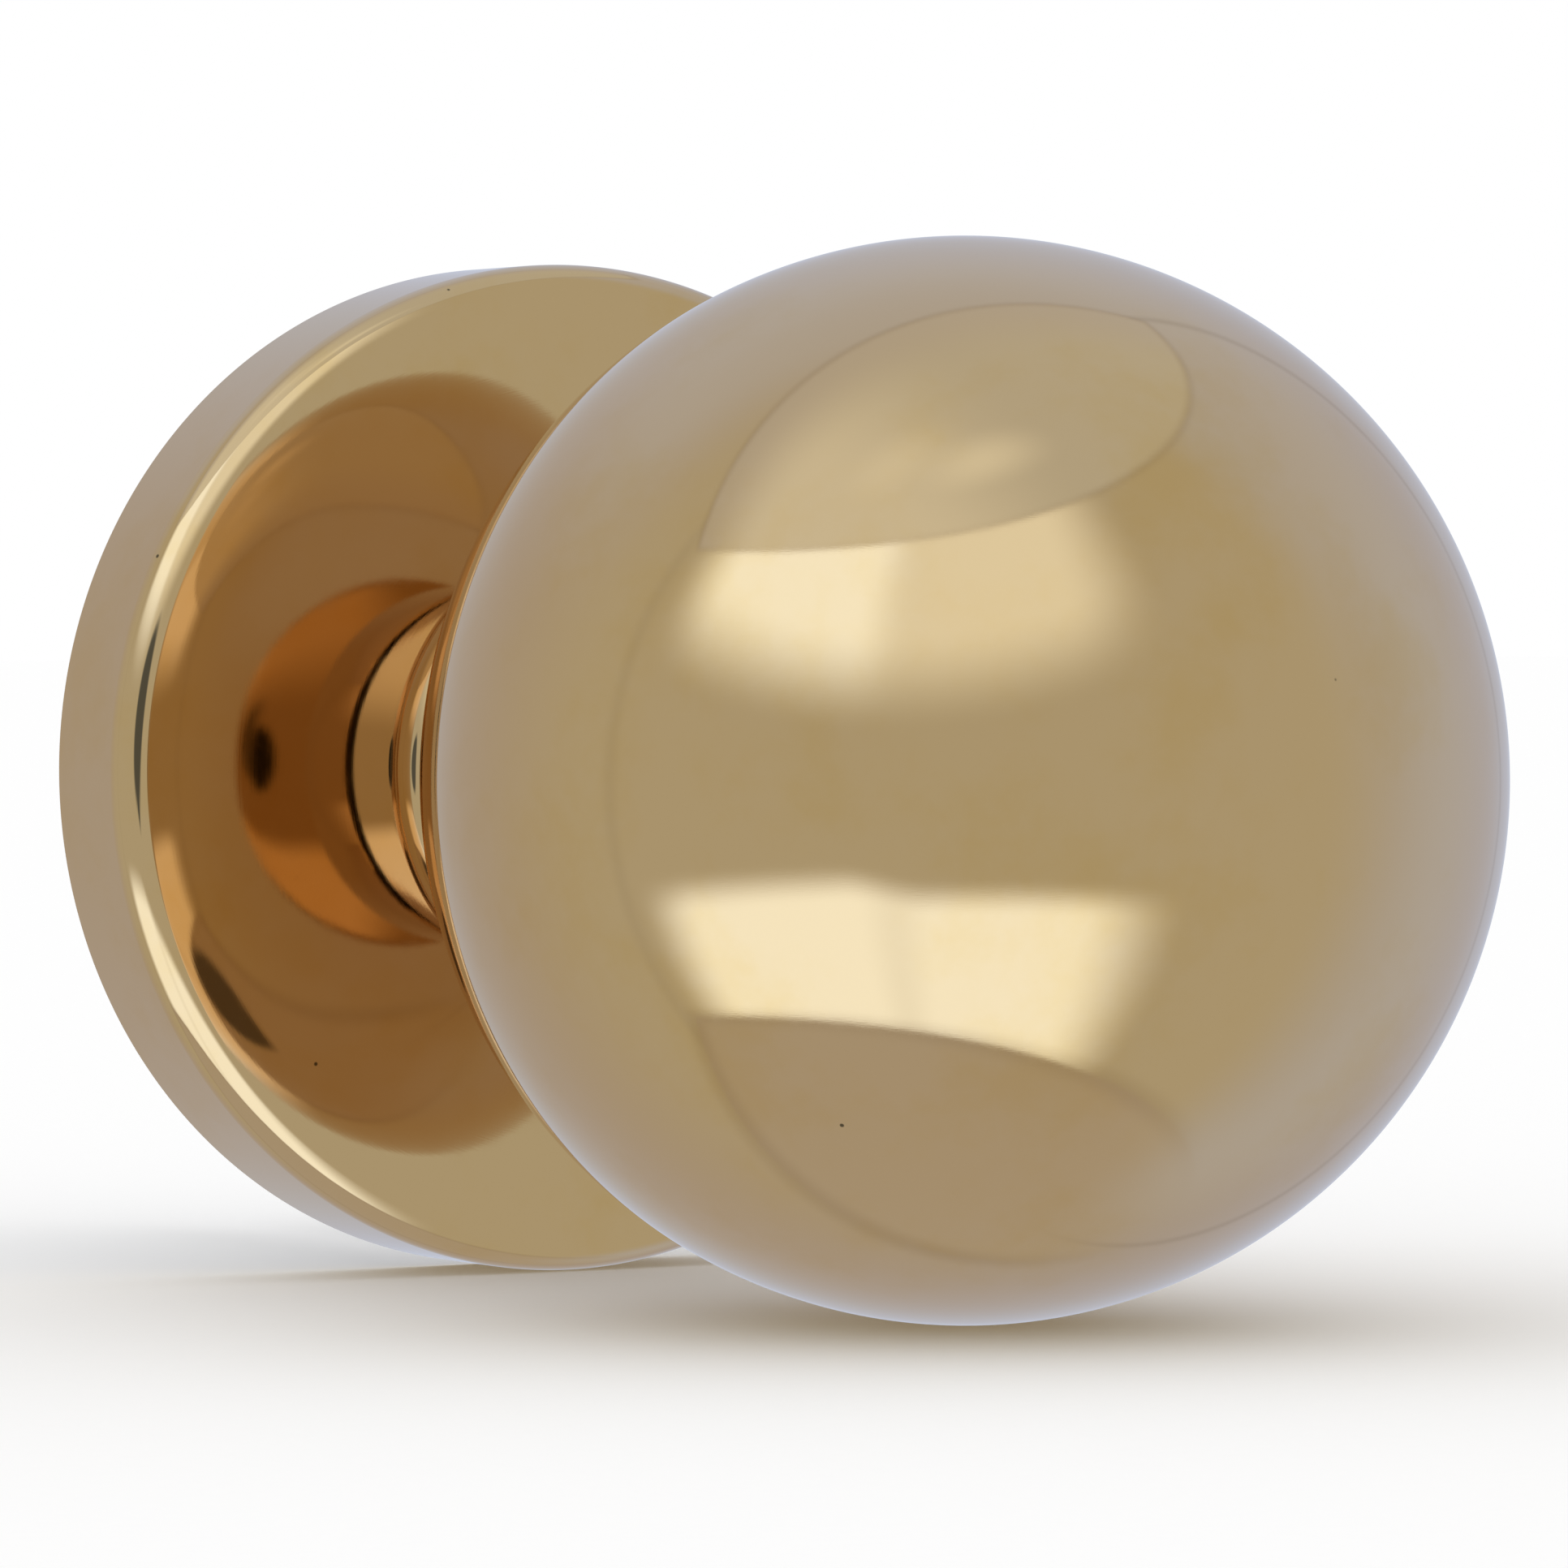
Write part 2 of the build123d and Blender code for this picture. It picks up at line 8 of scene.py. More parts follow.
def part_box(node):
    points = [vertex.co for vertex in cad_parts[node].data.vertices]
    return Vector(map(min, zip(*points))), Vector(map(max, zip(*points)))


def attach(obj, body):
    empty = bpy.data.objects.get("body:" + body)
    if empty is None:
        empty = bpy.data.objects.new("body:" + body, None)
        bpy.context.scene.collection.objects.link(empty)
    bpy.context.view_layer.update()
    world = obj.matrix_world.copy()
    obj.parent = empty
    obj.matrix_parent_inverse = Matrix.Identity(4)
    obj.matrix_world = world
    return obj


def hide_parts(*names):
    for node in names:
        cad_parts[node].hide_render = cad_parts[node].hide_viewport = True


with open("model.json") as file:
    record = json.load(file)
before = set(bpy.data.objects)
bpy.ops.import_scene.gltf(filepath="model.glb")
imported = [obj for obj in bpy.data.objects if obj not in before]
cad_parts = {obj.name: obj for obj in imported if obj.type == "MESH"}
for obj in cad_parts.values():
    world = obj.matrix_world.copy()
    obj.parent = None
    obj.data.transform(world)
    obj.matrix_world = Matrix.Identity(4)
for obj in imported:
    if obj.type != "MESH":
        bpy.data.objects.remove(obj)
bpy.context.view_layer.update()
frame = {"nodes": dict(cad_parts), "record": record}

# ----------------------------------------------------------------------- driving sizes, in millimetres
# The turning frame of the part: z runs out from the door face, r is the distance from the knob's axis.
MM = 0.001
BALL_LOW, BALL_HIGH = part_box("ball_shell_front")
BALL_R = 0.5 * (BALL_HIGH.x - BALL_LOW.x) / MM
BALL_Z = -BALL_HIGH.y / MM
SHELL_T = 1.6
SPIGOT_R = 9.2

ROSE_R = 30.0
ROSE_SIDE_Z = 6.9
RIM_R = 1.92
RIM_SLOPE = math.radians(9.5)
CROWN_SLOPE = math.radians(1.2)
SHOULDER_IN_R = 21.0
COLLAR_FOOT_R = 13.2
COLLAR_HOLLOW_R = 3.0
COLLAR_FLARE = math.radians(8.0)
COLLAR_TOP_Z = 18.7
COLLAR_BORE_R = 8.9
COLLAR_EDGE = 0.2
BUSH_SEAT_R = 9.9
BUSH_SEAT_Z = 7.9
COVER_IN_Z = 7.1
COVER_IN_R = 28.6
COVER_IN_BEVEL = 1.2
GRUB_Z = 2.2
GRUB_R = 1.5
GRUB_WINDOW = 2.0            # half height of the patch of wall round the grub screw's hole

BOLT_PITCH = 38.0
BOLT_THREAD_R = 2.0
BOLT_CORE_R = 1.57
BOLT_SHANK_R = 1.75
BOLT_THREAD_PITCH = 0.7
BOLT_TIP_Z = -36.0
BOLT_TIP_R = 1.5
BOLT_SHANK_Z = -0.6
BOLT_SEAT_Z = 3.5
BOLT_HEAD_R = 3.5
BOLT_HEAD_Z = 6.1
BOLT_HEAD_CHAMFER = 0.35
BOLT_SLOT_HALF = 0.5
BOLT_SLOT_Z = 4.9

FLOOR_Z = BALL_LOW.z - 0.02 * MM
FULL_TURN = 2.0 * math.pi

# --------------------------------------------------------------------------------------------- camera
CAM_AZIMUTH = math.radians(-31.25)   # the camera stands to the left of the knob's axis
CAM_ELEVATION = math.radians(1.1)
CAM_DISTANCE = 16.0 * BALL_R * MM
CAM_LENS = 199.8                     # millimetres, as is the sensor's width
CAM_SENSOR = 36.0
CAM_NEAREST = 0.01                   # metres
CAM_PAN = -0.0207                    # the ball sits right of the middle of the picture
CAM_TILT = -0.0004
UP = Vector((0.0, 0.0, 1.0))


def add_camera():
    """Camera at the viewing angle; returns the level directions to the camera and to its right."""
    toward = Vector((
        math.sin(CAM_AZIMUTH) * math.cos(CAM_ELEVATION),
        -math.cos(CAM_AZIMUTH) * math.cos(CAM_ELEVATION),
        math.sin(CAM_ELEVATION),
    ))
    side = (-toward).cross(UP).normalized()
    lift = side.cross(-toward)
    aim = (-toward + CAM_PAN * side + CAM_TILT * lift).normalized()
    cam_x = aim.cross(UP).normalized()
    cam_y = cam_x.cross(aim)
    place = Vector((0.0, -BALL_Z * MM, 0.0)) + toward * CAM_DISTANCE
    camera = bpy.data.objects.new("camera", bpy.data.cameras.new("camera"))
    camera.matrix_world = Matrix.Translation(place) @ Matrix((cam_x, cam_y, -aim)).transposed().to_4x4()
    camera.data.lens = CAM_LENS
    camera.data.sensor_width = CAM_SENSOR
    camera.data.clip_start = CAM_NEAREST
    bpy.context.scene.collection.objects.link(camera)
    bpy.context.scene.camera = camera
    level = Vector((toward.x, toward.y, 0.0)).normalized()
    return level, side


CAM_TOWARD, CAM_SIDE = add_camera()
bpy.context.scene.view_settings.view_transform = "Standard"


# --------------------------------------------------------------------------------------- node helpers
class Tree:
    """Builds a node tree, so that a material reads as a list of steps."""

    def __init__(self, owner):
        owner.use_nodes = True
        self.tree = owner.node_tree
        self.tree.nodes.clear()

    def put(self, socket, value):
        if isinstance(value, bpy.types.NodeSocket):
            self.tree.links.new(value, socket)
        elif isinstance(value, tuple) and len(value) == 3 and socket.type == "RGBA":
            socket.default_value = (*value, 1.0)
        else:
            socket.default_value = value

    def node(self, kind, inputs=None, **settings):
        made = self.tree.nodes.new(kind)
        for key, value in settings.items():
            setattr(made, key, value)
        for key, value in (inputs or {}).items():
            self.put(made.inputs[key], value)
        return made

    def math(self, operation, a, b=0.0, c=0.0):
        made = self.node("ShaderNodeMath", operation=operation)
        for socket, value in zip(made.inputs, (a, b, c)):
            self.put(socket, value)
        return made.outputs[0]

    def add(self, a, b):
        return self.math("ADD", a, b)

    def sub(self, a, b):
        return self.math("SUBTRACT", a, b)

    def mul(self, a, b):
        return self.math("MULTIPLY", a, b)

    def square(self, value):
        return self.mul(value, value)

    def dot(self, vector, direction):
        pair = {0: vector, 1: tuple(direction)}
        return self.node("ShaderNodeVectorMath", pair, operation="DOT_PRODUCT").outputs["Value"]

    def scale(self, vector, by):
        pair = {0: vector, 1: tuple(by)}
        return self.node("ShaderNodeVectorMath", pair, operation="MULTIPLY").outputs["Vector"]

    def ease(self, value, low, high):
        """0 at low, 1 at high, eased between; low may be the larger."""
        made = self.node("ShaderNodeMapRange", {"Value": value, "From Min": low, "From Max": high})
        made.interpolation_type = "SMOOTHSTEP"
        return made.outputs["Result"]

    def line(self, value, width):
        """1 where value is 0, falling to 0 at width either side."""
        return self.ease(self.math("ABSOLUTE", value), width, 0.0)

    def mix(self, factor, a, b):
        made = self.node("ShaderNodeMix", data_type="RGBA")
        self.put(made.inputs[0], factor)
        self.put(made.inputs[6], a)
        self.put(made.inputs[7], b)
        return made.outputs[2]

    def noise(self, vector, scale, detail=3.0, rough=0.5):
        made = self.node("ShaderNodeTexNoise", {"Vector": vector, "Scale": scale})
        made.inputs["Detail"].default_value = detail
        made.inputs["Roughness"].default_value = rough
        return made.outputs["Fac"]

    def millimetres(self):
        """Place on the part in millimetres, riding with it."""
        return self.scale(self.node("ShaderNodeTexCoord").outputs["Object"], (1 / MM,) * 3)

    def radius(self, place):
        """Distance from the knob's axis of a place on the part."""
        across = self.scale(place, (1.0, 0.0, 1.0))
        return self.node("ShaderNodeVectorMath", {0: across}, operation="LENGTH").outputs["Value"]

    def soft_edge(self, radius_mm):
        return self.node("ShaderNodeBevel", {"Radius": radius_mm * MM}, samples=4).outputs["Normal"]

    def bump(self, height, depth_mm, normal=None):
        made = self.node("ShaderNodeBump", {"Height": height, "Strength": 1.0, "Distance": depth_mm * MM})
        if normal is not None:
            self.put(made.inputs["Normal"], normal)
        return made.outputs["Normal"]

    def specks(self, place, per_mm, share, size):
        """Sparse small dots: 1 inside a dot."""
        cells = self.node("ShaderNodeTexVoronoi", {"Vector": place, "Scale": per_mm})
        chosen = self.node("ShaderNodeSeparateColor", {0: cells.outputs["Color"]}).outputs[0]
        dot = self.ease(cells.outputs["Distance"], size, 0.5 * size)
        return self.mul(dot, self.math("LESS_THAN", chosen, share))

    def angles(self, direction):
        """Azimuth from the camera towards its right, and elevation, in degrees."""
        across = self.dot(direction, CAM_SIDE)
        forward = self.dot(direction, CAM_TOWARD)
        azimuth = self.mul(self.math("ARCTAN2", across, forward), 180.0 / math.pi)
        elevation = self.mul(self.math("ARCSINE", self.dot(direction, UP)), 180.0 / math.pi)
        return azimuth, elevation

    def oval(self, azimuth, elevation, centre, half):
        """1 inside an oval of the surroundings, with a soft edge."""
        wide = self.math("DIVIDE", self.sub(azimuth, centre[0]), half[0])
        high = self.math("DIVIDE", self.sub(elevation, centre[1]), half[1])
        away = self.math("SQRT", self.add(self.square(wide), self.square(high)))
        return self.ease(away, 1.15, 0.8)

    def surface(self, **inputs):
        shader = self.node("ShaderNodeBsdfPrincipled")
        for key, value in inputs.items():
            self.put(shader.inputs[key.replace("_", " ")], value)
        out = self.node("ShaderNodeOutputMaterial")
        self.put(out.inputs["Surface"], shader.outputs[0])


# ------------------------------------------------------------------------------------------ materials
BRASS = (0.610, 0.385, 0.192)
BRASS_DEEP = (0.594, 0.356, 0.143)

# Dark things round the camera: centre and half size of each oval, as azimuth and elevation in degrees.
# On turned brass the lens, and on its rim the slit, are painted reflections: the colour is darkened where
# it would mirror them. The lens and the stand also show in light that was mirrored twice.
# The ball mirrors none of them directly.
LENS = ((-3.0, 1.0), (5.0, 9.0))
RIM_SLIT = ((-4.0, 6.0), (14.0, 12.0))
STAND = ((-40.0, -64.0), (32.0, 17.0))
SLIT_FADE = (24.0, 27.0)     # distances from the knob's axis over which the slit sets in
NEAR = 0.9                   # metres; a colour map is baked from 1 m away, so it stays plain brass


def polished_brass(turned):
    """Lacquered mirror brass: faint deeper patches, hairlines from the mop and a few pits; turned pieces
    also get painted reflections of the lens and the rim's slit.
    """
    material = bpy.data.materials.new("polished_brass_turned" if turned else "polished_brass_ball")
    t = Tree(material)
    place = t.millimetres()
    patches = t.ease(t.noise(place, 0.085, 5.0, 0.62), 0.46, 0.72)
    pits = t.specks(place, 0.22, 0.16, 0.035)
    base = t.mix(t.mul(patches, 0.75), BRASS, BRASS_DEEP)
    base = t.mix(pits, base, (0.12, 0.08, 0.04))
    haze = t.noise(place, 0.5, 6.0, 0.7)
    rough = t.math("MULTIPLY_ADD", t.ease(haze, 0.35, 0.8), 0.05, 0.025)
    if turned:
        # painted reflection: the colour goes nearly black where the turned brass would mirror the lens,
        # or the slit on its rim
        mirrored = t.angles(t.node("ShaderNodeTexCoord").outputs["Reflection"])
        painted_slit_reflection = t.mul(t.oval(*mirrored, *RIM_SLIT), t.ease(t.radius(place), *SLIT_FADE))
        near = t.math("LESS_THAN", t.node("ShaderNodeLightPath").outputs["Ray Length"], NEAR)
        painted_reflection = t.mul(t.math("MAXIMUM", t.oval(*mirrored, *LENS), painted_slit_reflection), near)
        base = t.mix(t.mul(painted_reflection, 0.85), base, (0.03, 0.03, 0.025))
        rings = t.node("ShaderNodeCombineXYZ", {0: t.radius(place), 1: t.dot(place, (0, 1, 0))})
        hairs = t.noise(rings.outputs[0], 9.0, 4.0, 0.7)
    else:
        hairs = t.noise(t.scale(place, (0.5, 2.0, 14.0)), 1.2, 4.0, 0.7)
    normal = t.bump(hairs, 0.0006)
    t.surface(Base_Color=base, Metallic=1.0, Roughness=rough, Normal=normal)
    return material


def raw_brass():
    """As turned and pressed, unpolished: tool rings and dull patches."""
    material = bpy.data.materials.new("raw_brass")
    t = Tree(material)
    place = t.millimetres()
    rings = t.node("ShaderNodeCombineXYZ", {0: t.radius(place), 1: t.dot(place, (0, 1, 0))})
    cuts = t.noise(rings.outputs[0], 5.0, 3.0, 0.6)
    dull = t.noise(place, 0.25, 4.0, 0.6)
    base = t.mix(t.ease(dull, 0.3, 0.7), (0.66, 0.47, 0.25), (0.50, 0.33, 0.17))
    rough = t.math("MULTIPLY_ADD", dull, 0.2, 0.22)
    normal = t.bump(cuts, 0.006, t.soft_edge(0.1))
    t.surface(Base_Color=base, Metallic=1.0, Roughness=rough, Normal=normal)
    return material


def zinc_casting():
    """Pressure die-cast zinc: grey skin with flow marks, fine grain and painted shade in the corners."""
    material = bpy.data.materials.new("zinc_casting")
    t = Tree(material)
    place = t.millimetres()
    flow = t.noise(t.scale(place, (1.0, 1.0, 0.45)), 0.16, 6.0, 0.65)
    grain = t.noise(place, 4.5, 5.0, 0.7)
    shade = t.node("ShaderNodeAmbientOcclusion", {"Distance": 3.0 * MM}, samples=6).outputs["AO"]
    skin = t.mix(t.ease(flow, 0.3, 0.7), (0.40, 0.355, 0.335), (0.56, 0.50, 0.475))
    # painted shade: the colour darkens towards near black in corners and recesses, by ambient occlusion
    base = t.mix(t.ease(shade, 0.15, 0.95), (0.11, 0.10, 0.095), skin)
    rough = t.math("MULTIPLY_ADD", grain, 0.25, 0.30)
    normal = t.bump(grain, 0.012, t.bump(flow, 0.05, t.soft_edge(0.2)))
    t.surface(Base_Color=base, Metallic=1.0, Roughness=rough, Normal=normal)
    return material


def zinc_plate():
    """Bright zinc plated steel: a faint bloom, handling scratches and painted shade in the corners."""
    material = bpy.data.materials.new("bright_zinc_plate")
    t = Tree(material)
    place = t.millimetres()
    bloom = t.noise(place, 0.35, 4.0, 0.6)
    scratches = t.noise(t.scale(place, (6.0, 0.35, 6.0)), 2.0, 3.0, 0.6)
    base = t.mix(t.ease(bloom, 0.35, 0.65), (0.44, 0.415, 0.405), (0.53, 0.48, 0.445))
    shade = t.node("ShaderNodeAmbientOcclusion", {"Distance": 1.2 * MM}, samples=6).outputs["AO"]
    # painted shade: the colour darkens towards near black in corners and recesses, by ambient occlusion
    base = t.mix(t.ease(shade, 0.1, 0.9), (0.10, 0.09, 0.085), base)
    rough = t.math("MULTIPLY_ADD", t.ease(scratches, 0.4, 0.75), 0.20, 0.20)
    normal = t.bump(scratches, 0.002, t.soft_edge(0.12))
    t.surface(Base_Color=base, Metallic=0.62, Roughness=rough, Normal=normal)
    return material


def black_steel():
    """Phosphated and oiled steel."""
    material = bpy.data.materials.new("black_phosphate_steel")
    t = Tree(material)
    place = t.millimetres()
    grain = t.noise(place, 3.0, 5.0, 0.7)
    base = t.mix(t.ease(grain, 0.35, 0.7), (0.035, 0.036, 0.040), (0.095, 0.09, 0.085))
    rough = t.math("MULTIPLY_ADD", grain, 0.25, 0.28)
    normal = t.bump(grain, 0.006, t.soft_edge(0.1))
    t.surface(Base_Color=base, Metallic=0.85, Roughness=rough, Normal=normal)
    return material


def plastic(name, light, dark, least_rough):
    """Moulded acetal: slightly waxy, with a fine spark-eroded grain."""
    material = bpy.data.materials.new(name)
    t = Tree(material)
    place = t.millimetres()
    cloud = t.noise(place, 0.6, 4.0, 0.6)
    grain = t.noise(place, 9.0, 3.0, 0.6)
    base = t.mix(cloud, light, dark)
    rough = t.math("MULTIPLY_ADD", grain, 0.15, least_rough)
    normal = t.bump(grain, 0.004, t.soft_edge(0.08))
    t.surface(Base_Color=base, Roughness=rough, Normal=normal)
    return material


def rubber():
    """Black nitrile rubber with a dusty bloom."""
    material = bpy.data.materials.new("black_rubber")
    t = Tree(material)
    place = t.millimetres()
    bloom = t.noise(place, 1.1, 5.0, 0.7)
    base = t.mix(t.ease(bloom, 0.4, 0.8), (0.014, 0.014, 0.015), (0.06, 0.058, 0.055))
    normal = t.bump(t.noise(place, 6.0), 0.006)
    t.surface(Base_Color=base, Roughness=0.62, Normal=normal)
    return material


MIRROR_BALL = polished_brass(False)
MIRROR_TURNED = polished_brass(True)
FINISHES = {
    "polished_brass": MIRROR_TURNED,
    "raw_brass": raw_brass(),
    "zinc_casting": zinc_casting(),
    "bright_zinc_steel": zinc_plate(),
    "black_steel": black_steel(),
    "black_acetal": plastic("black_acetal", (0.012, 0.012, 0.013), (0.022, 0.021, 0.020), 0.34),
    "white_acetal": plastic("white_acetal", (0.80, 0.79, 0.75), (0.72, 0.71, 0.66), 0.30),
    "black_rubber": rubber(),
}


def finish_nodes():
    """Give every carried-over node the finish that the record names for it."""
    for entry in frame["record"]["subparts"]:
        node = frame["nodes"][entry["node"]]
        node.data.materials.clear()
        node.data.materials.append(FINISHES[entry["material_slot"]])


finish_nodes()


# -------------------------------------------------------------------------------------- turned pieces
ON_AXIS_R = 1e-6             # a ring smaller than this is one point
THIN_FACE = 1e-24            # a squared normal shorter than this comes from two equal corners


class Shape:
    """A closed mesh that is built face by face with its exact surface normals."""

    def __init__(self):
        self.points = []
        self.faces = []
        self.normals = []

    def point(self, place):
        self.points.append(Vector(place) * MM)
        return len(self.points) - 1

    def face(self, corners, normals):
        a, b, c = (self.points[i] for i in corners[:3])
        flat = (b - a).cross(c - a)
        if flat.length_squared < THIN_FACE:
            flat = (c - a).cross(self.points[corners[-1]] - a)
        if flat.dot(sum(normals, Vector())) < 0:
            corners = corners[::-1]
            normals = normals[::-1]
        self.faces.append(corners)
        self.normals.extend(normals)

    def build(self, name, material, exact=True):
        mesh = bpy.data.meshes.new(name)
        mesh.from_pydata(self.points, [], self.faces)
        mesh.polygons.foreach_set("use_smooth", [True] * len(self.faces))
        if exact:
            mesh.normals_split_custom_set(self.normals)
        mesh.materials.append(material)
        piece = bpy.data.objects.new(name, mesh)
        bpy.context.scene.collection.objects.link(piece)
        return piece


def spin(r, z, angle):
    """Point of the turning frame laid into the part's frame."""
    return Vector((r * math.cos(angle), -z, r * math.sin(angle)))


def straight(start, end, normal, cuts=1):
    """Straight run of a profile with one normal."""
    run = []
    for i in range(cuts + 1):
        share = i / cuts
        r = start[0] + (end[0] - start[0]) * share
        z = start[1] + (end[1] - start[1]) * share
        run.append((r, z, *normal))
    return run


def arc(centre, radius, first, last, cuts, facing=1.0):
    """Round run; the angle is measured from the knob's axis, and a negative radius makes a hollow."""
    run = []
    for i in range(cuts + 1):
        angle = first + (last - first) * i / cuts
        nr = math.sin(angle)
        nz = math.cos(angle)
        run.append((centre[0] + radius * nr, centre[1] + radius * nz, facing * nr, facing * nz))
    return run


def ring_key(r, z):
    return round(r, 6), round(z, 6)


def turn(runs, steps, skip=None):
    """Spin a closed or axis-to-axis profile. skip(run, step) leaves out a run's faces at a step."""
    shape = Shape()
    rings = {}

    def ring(r, z):
        key = ring_key(r, z)
        if key not in rings:
            if r < ON_AXIS_R:
                rings[key] = [shape.point((0.0, -z, 0.0))] * steps
            else:
                rings[key] = [shape.point(spin(r, z, FULL_TURN * i / steps)) for i in range(steps)]
        return rings[key]

    for index, run in enumerate(runs):
        for low, high in zip(run[:-1], run[1:]):
            ring_low = ring(low[0], low[1])
            ring_high = ring(high[0], high[1])
            normals_low = [spin(low[2], low[3], FULL_TURN * i / steps) for i in range(steps)]
            normals_high = [spin(high[2], high[3], FULL_TURN * i / steps) for i in range(steps)]
            for i in range(steps):
                if skip and skip(index, i):
                    continue
                j = (i + 1) % steps
                corners = [ring_low[i], ring_low[j], ring_high[j], ring_high[i]]
                normals = [normals_low[i], normals_low[j], normals_high[j], normals_high[i]]
                if corners[0] == corners[1]:
                    shape.face(corners[1:], normals[1:])
                elif corners[2] == corners[3]:
                    shape.face(corners[:3], normals[:3])
                else:
                    shape.face(corners, normals)
    return shape, rings


BALL_STEPS = 480
BALL_CUTS = 96


def ball_halves():
    """The two pressed halves of the ball."""
    centre = (0.0, BALL_Z)
    inner = BALL_R - SHELL_T
    equator = 0.5 * math.pi
    front = [
        arc(centre, BALL_R, 0.0, equator, BALL_CUTS),
        straight((BALL_R, BALL_Z), (inner, BALL_Z), (0.0, -1.0)),
        arc(centre, inner, equator, 0.0, BALL_CUTS // 2, facing=-1.0),
    ]
    mouth_out = math.pi - math.asin(SPIGOT_R / BALL_R)
    mouth_in = math.pi - math.asin(SPIGOT_R / inner)
    lip_out = BALL_Z + BALL_R * math.cos(mouth_out)
    lip_in = BALL_Z + inner * math.cos(mouth_in)
    rear = [
        straight((inner, BALL_Z), (BALL_R, BALL_Z), (0.0, 1.0)),
        arc(centre, BALL_R, equator, mouth_out, BALL_CUTS),
        straight((SPIGOT_R, lip_out), (SPIGOT_R, lip_in), (-1.0, 0.0)),
        arc(centre, inner, mouth_in, equator, BALL_CUTS // 2, facing=-1.0),
    ]
    for word, runs in (("front", front), ("rear", rear)):
        piece = turn(runs, BALL_STEPS)[0].build(f"ball_{word}", MIRROR_BALL)
        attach(piece, "knob")
        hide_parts(f"ball_shell_{word}")


COVER_STEPS = 720
RIM_CUTS = 28
SHOULDER_CUTS = 20
CROWN_CUTS = 16
HOLLOW_CUTS = 24
FLARE_CUTS = 4
ROOF_CUTS = 6
WINDOW_COLUMNS = 8           # the wall patch spans this many steps either side of straight down
DOWN = COVER_STEPS * 3 // 4
DOWN_ANGLE = 1.5 * math.pi


def on_arc(centre, radius, slope):
    """Point of an arc at a slope to the face; a negative radius leads to the other side of the centre."""
    return centre[0] + radius * math.sin(slope), centre[1] + radius * math.cos(slope)


def shoulder_run(rim_in):
    """From the rim to the crown: the slope grows with the cube of the way out from the crown."""
    span = rim_in[0] - SHOULDER_IN_R
    low = math.tan(CROWN_SLOPE)
    gain = math.tan(RIM_SLOPE) - low
    run = []
    for i in range(SHOULDER_CUTS + 1):
        share = 1.0 - i / SHOULDER_CUTS
        slope = math.atan(low + gain * share ** 3)
        drop = span * (low * (1.0 - share) + gain / 4 * (1.0 - share ** 4))
        run.append((SHOULDER_IN_R + span * share, rim_in[1] + drop, math.sin(slope), math.cos(slope)))
    return run


